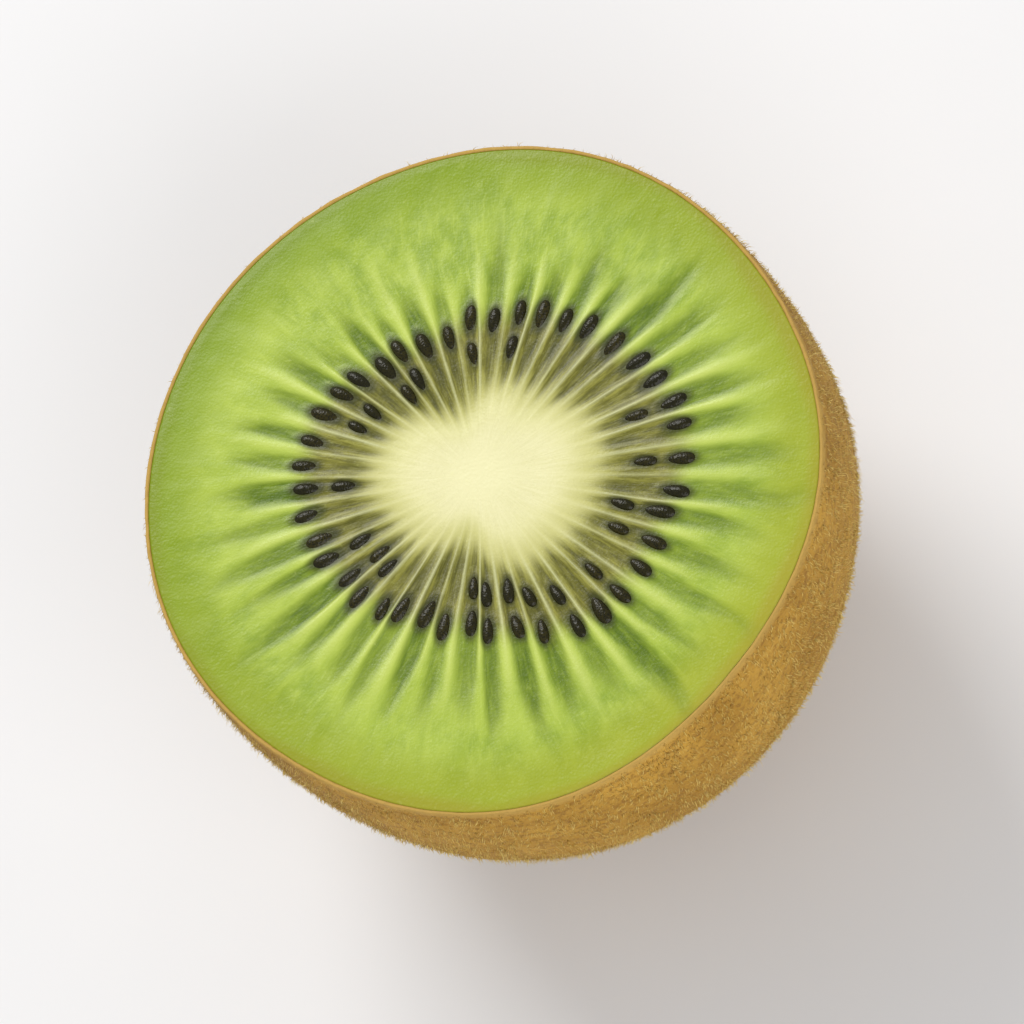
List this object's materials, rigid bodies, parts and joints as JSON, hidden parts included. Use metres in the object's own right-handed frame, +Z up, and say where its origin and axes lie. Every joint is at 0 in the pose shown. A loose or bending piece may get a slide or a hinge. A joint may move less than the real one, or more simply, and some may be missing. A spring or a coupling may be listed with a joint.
{
  "type": "kiwi fruit half",
  "caption": "Kiwi fruit cut across its middle: a rounded brown fuzzy dome under a flat green cut face with a pale core and a ring of dark seeds.",
  "frame": {"origin": "middle of the small flat spot that the half rests on, straight below the middle of the cut face", "axes": "+Z up along the fruit's length, out of the cut face; X and Y across the fruit"},
  "size_m": [0.0502, 0.0503, 0.0355],
  "materials": {
    "skin": "matt brown fuzzy skin",
    "flesh": "moist green flesh with a cream core",
    "seeds": "dark glossy seeds"
  },
  "bodies": {
    "root": {"kiwi_half": "skin"}
  },
  "joints": []
}
